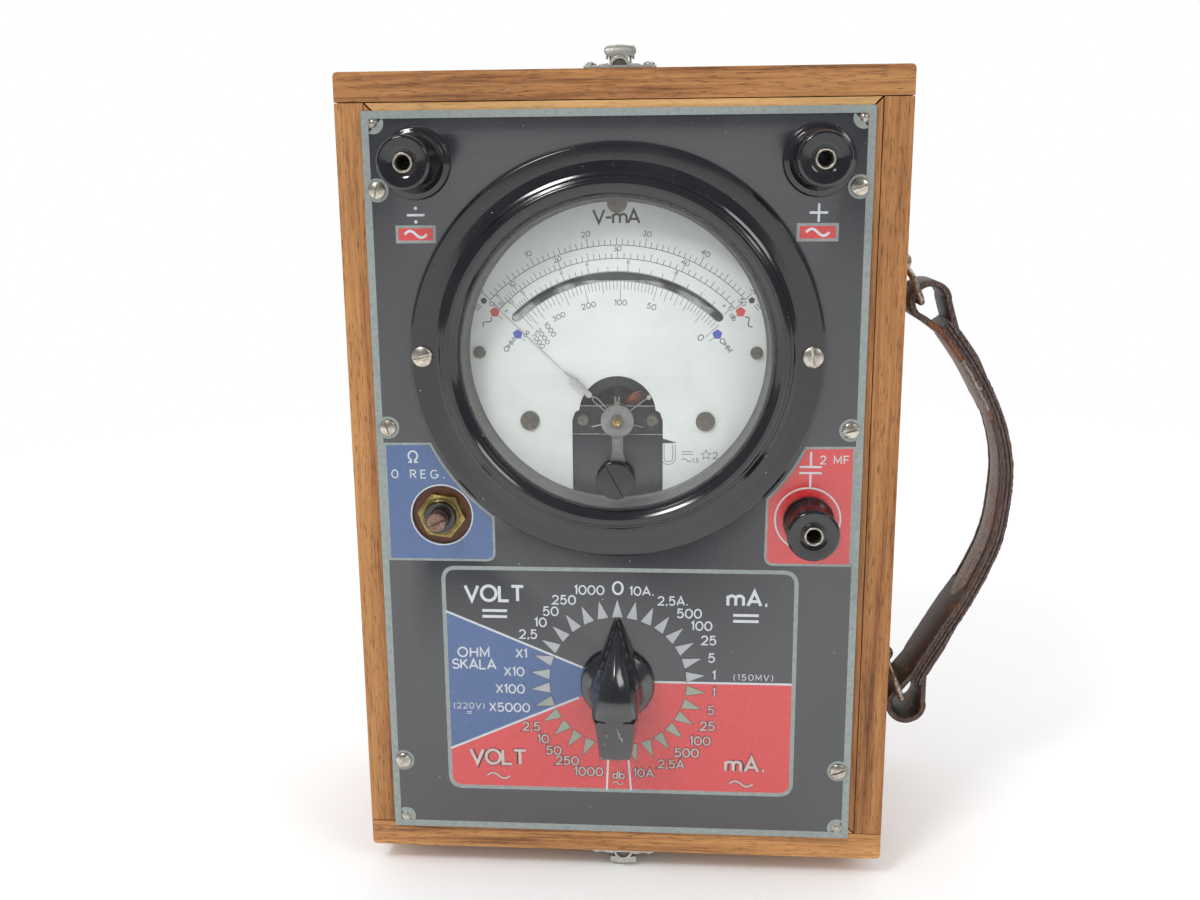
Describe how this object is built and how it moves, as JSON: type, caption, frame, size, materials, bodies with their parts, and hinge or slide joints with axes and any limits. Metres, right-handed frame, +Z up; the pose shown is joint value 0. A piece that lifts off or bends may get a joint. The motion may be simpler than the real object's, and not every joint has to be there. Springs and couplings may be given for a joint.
{
  "type": "analog multimeter",
  "caption": "Moving-coil multimeter in a wooden carrying case, with a round mirror-scale meter, rotary range switch, plug sockets and a leather strap handle.",
  "frame": {"origin": "centre of the whole instrument's box, at its lowest point", "axes": "+Z up along the case, -Y out of the meter panel, +X towards the strap handle"},
  "size_m": [0.2132, 0.111, 0.2652],
  "materials": {
    "walnut": "oiled, worn at the edges",
    "raw_wood": "bare",
    "plywood": "stained",
    "pertinax": "brown laminate",
    "black_enamel": "satin black print on aluminium",
    "bakelite": "moulded, glossy",
    "nickel": "nickel plated, a little dull",
    "brass": "bare, tarnished",
    "steel": "machined",
    "magnet_steel": "dark",
    "copper": "browned copper",
    "dial_white": "off-white, printed",
    "mirror_silver": "polished",
    "glass": "clear",
    "leather": "dark brown, worn",
    "card": "printed wrapper"
  },
  "bodies": {
    "case": {"case_top": "walnut", "case_bottom": "walnut", "case_left": "walnut", "case_right": "walnut", "case_back": "plywood", "lining_top": "raw_wood", "lining_bottom": "raw_wood", "lining_left": "raw_wood", "lining_right": "raw_wood", "panel_base": "pertinax", "face_plate": "black_enamel", "panel_screw_1": "nickel", "panel_screw_2": "nickel", "panel_screw_3": "nickel", "panel_screw_4": "nickel", "panel_screw_5": "nickel", "panel_screw_6": "nickel", "meter_bezel": "bakelite", "meter_screw_left": "nickel", "meter_screw_right": "nickel", "meter_glass": "glass", "meter_housing": "bakelite", "dial_plate": "dial_white", "dial_mirror": "mirror_silver", "magnet": "magnet_steel", "pole_piece": "steel", "core": "steel", "bridge": "brass", "switch_bushing": "brass", "switch_wafer": "pertinax", "ohm_pot_body": "bakelite", "ohm_pot_nut": "brass", "socket_minus": "bakelite", "socket_minus_insert": "nickel", "socket_plus": "bakelite", "socket_plus_insert": "nickel", "socket_capacitor": "bakelite", "socket_capacitor_insert": "nickel", "capacitor": "magnet_steel", "battery": "card", "resistor_card": "pertinax", "rectifier": "brass", "top_catch_base": "nickel", "bottom_catch_base": "nickel", "top_handle_eye": "nickel", "bottom_handle_eye": "nickel"},
    "movement": {"moving_coil": "copper", "pointer": "nickel"},
    "zero_arm": {"zero_lever": "steel", "hairspring": "brass"},
    "zero_adjuster": {"zero_screw": "bakelite"},
    "range_switch": {"range_knob": "bakelite", "switch_shaft": "steel", "switch_rotor": "brass"},
    "ohm_adjuster": {"ohm_pot_shaft": "copper"},
    "top_hook": {"top_catch_hook": "nickel"},
    "bottom_hook": {"bottom_catch_hook": "nickel"},
    "top_ring": {"top_handle_ring": "nickel"},
    "strap": {"handle_strap": "leather"},
    "bottom_ring": {"bottom_handle_ring": "nickel"}
  },
  "joints": [
    {"name": "pointer_swing", "type": "hinge", "parent": "case", "child": "movement", "pos_m": [-0.02346, -0.031, 0.15289], "axis": [0, 1, 0], "range_deg": [0, 92], "stiffness_Nm_per_rad": 0.00002},
    {"name": "zero_arm_turn", "type": "hinge", "parent": "case", "child": "zero_arm", "pos_m": [-0.02346, -0.0302, 0.15289], "axis": [0, -1, 0], "range_deg": [-4.2, 4.2]},
    {"name": "zero_screw_turn", "type": "hinge", "parent": "case", "child": "zero_adjuster", "pos_m": [-0.02346, -0.0356, 0.13659], "axis": [0, -1, 0], "range_deg": [-42, 42]},
    {"name": "range_knob_turn", "type": "hinge", "parent": "case", "child": "range_switch", "pos_m": [-0.02346, -0.0356, 0.06824], "axis": [0, 1, 0], "continuous": true},
    {"name": "ohm_shaft_turn", "type": "hinge", "parent": "case", "child": "ohm_adjuster", "pos_m": [-0.07866, -0.0356, 0.12344], "axis": [0, 1, 0], "range_deg": [-135, 135]},
    {"name": "top_hook_lift", "type": "hinge", "parent": "case", "child": "top_hook", "pos_m": [-0.02211, -0.0293, 0.2628], "axis": [1, 0, 0], "range_deg": [0, 70]},
    {"name": "bottom_hook_lift", "type": "hinge", "parent": "case", "child": "bottom_hook", "pos_m": [-0.02211, -0.0293, 0.0024], "axis": [-1, 0, 0], "range_deg": [0, 70]},
    {"name": "top_ring_swing", "type": "hinge", "parent": "case", "child": "top_ring", "pos_m": [0.06839, 0.0105, 0.1991], "axis": [0, -1, 0], "range_deg": [-20, 125]},
    {"name": "strap_swing", "type": "hinge", "parent": "top_ring", "child": "strap", "pos_m": [0.07341, 0.0105, 0.18668], "axis": [0, -1, 0], "range_deg": [-150, 40]},
    {"name": "bottom_ring_swing", "type": "hinge", "parent": "case", "child": "bottom_ring", "pos_m": [0.06839, 0.0105, 0.0615], "axis": [0, -1, 0], "range_deg": [-40, 150]}
  ],
  "couplings": [
    {"joint": "zero_screw_turn", "follows": "zero_arm_turn", "ratio": -9.6},
    {"joint": "strap_swing", "follows": "top_ring_swing", "ratio": -1},
    {"joint": "bottom_ring_swing", "follows": "top_ring_swing", "ratio": 1}
  ]
}
